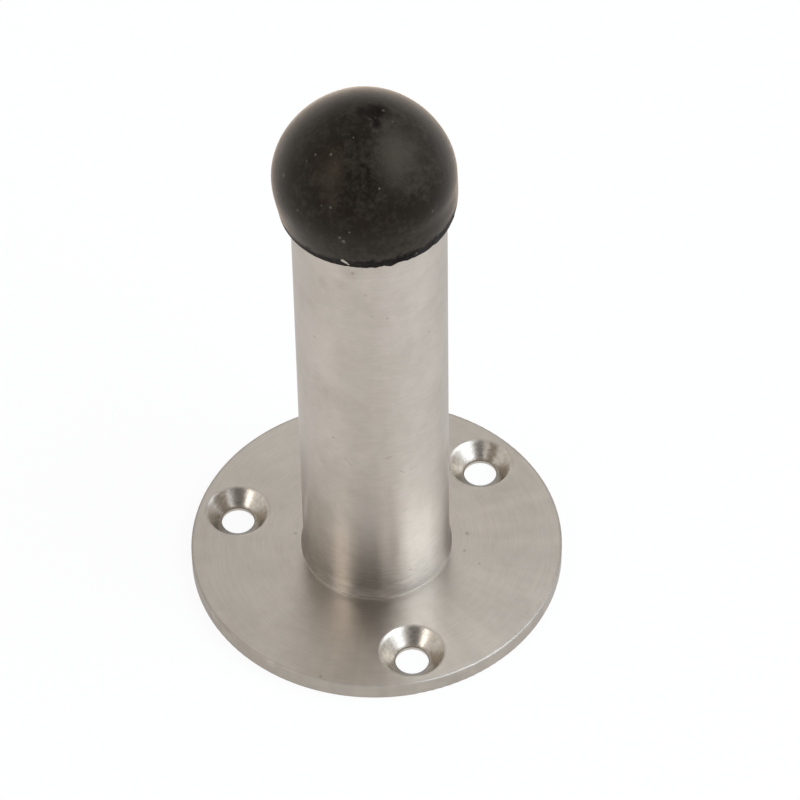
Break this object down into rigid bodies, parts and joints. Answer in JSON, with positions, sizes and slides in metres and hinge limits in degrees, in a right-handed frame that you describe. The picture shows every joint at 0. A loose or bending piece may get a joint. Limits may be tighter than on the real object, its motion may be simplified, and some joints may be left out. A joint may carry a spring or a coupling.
{
  "type": "projection door stop",
  "caption": "Wall-mounted projection door stop: a tubular steel post on a round screw-on rose, with a domed rubber buffer pushed into its end.",
  "frame": {"origin": "centre of the rose's back face, which sits against the wall", "axes": "+Z runs out from the wall along the post, and -Y points at one of the wood screw holes"},
  "size_m": [0.056, 0.056, 0.0944],
  "materials": {
    "rose_steel": "satin, brushed in circles round the post",
    "post_steel": "satin, brushed round the post",
    "plug_steel": "plain turned",
    "screw_steel": "bright zinc plate",
    "rubber": "matt, moulded"
  },
  "bodies": {
    "root": {"rose": "rose_steel", "post": "post_steel", "foot_plug": "plug_steel", "post_screw": "screw_steel", "buffer": "rubber"}
  },
  "joints": []
}
